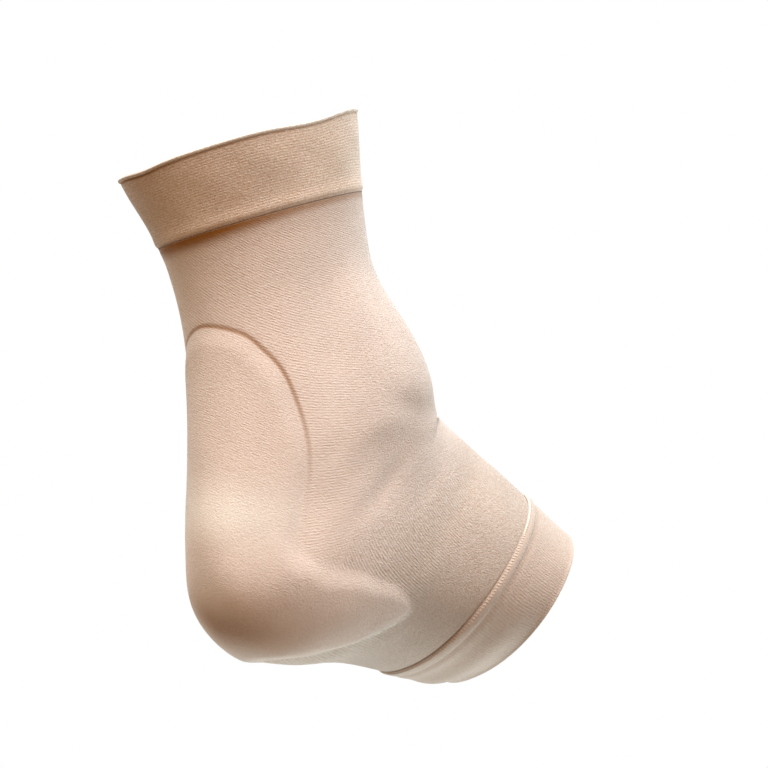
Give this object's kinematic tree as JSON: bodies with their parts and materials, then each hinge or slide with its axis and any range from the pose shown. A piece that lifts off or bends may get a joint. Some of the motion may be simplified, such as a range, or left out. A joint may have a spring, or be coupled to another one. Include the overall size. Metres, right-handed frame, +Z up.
{
  "type": "gel achilles sleeve",
  "caption": "Knitted ankle and heel sleeve in its worn form, open at the toes, with a doubled cuff, a sewn toe band and a gel pad behind the tendon and round the heel.",
  "frame": {"origin": "the middle of the ankle that the sleeve is worn on, in its hollow", "axes": "+X to the toes, +Y to the outer side of a left foot, +Z up, with the sole level and the shin leaning back"},
  "size_m": [0.1972, 0.0866, 0.2058],
  "materials": {
    "knit": "matte fine elastic knit, pale beige",
    "doubled_knit": "matte doubled elastic knit, beige",
    "ribbed_knit": "matte finely ribbed elastic knit, pale beige",
    "gel": "satin soft gel, pale amber"
  },
  "bodies": {
    "root": {"sleeve_body": "knit", "top_cuff": "doubled_knit", "toe_band": "ribbed_knit", "gel_pad": "gel"}
  },
  "joints": []
}
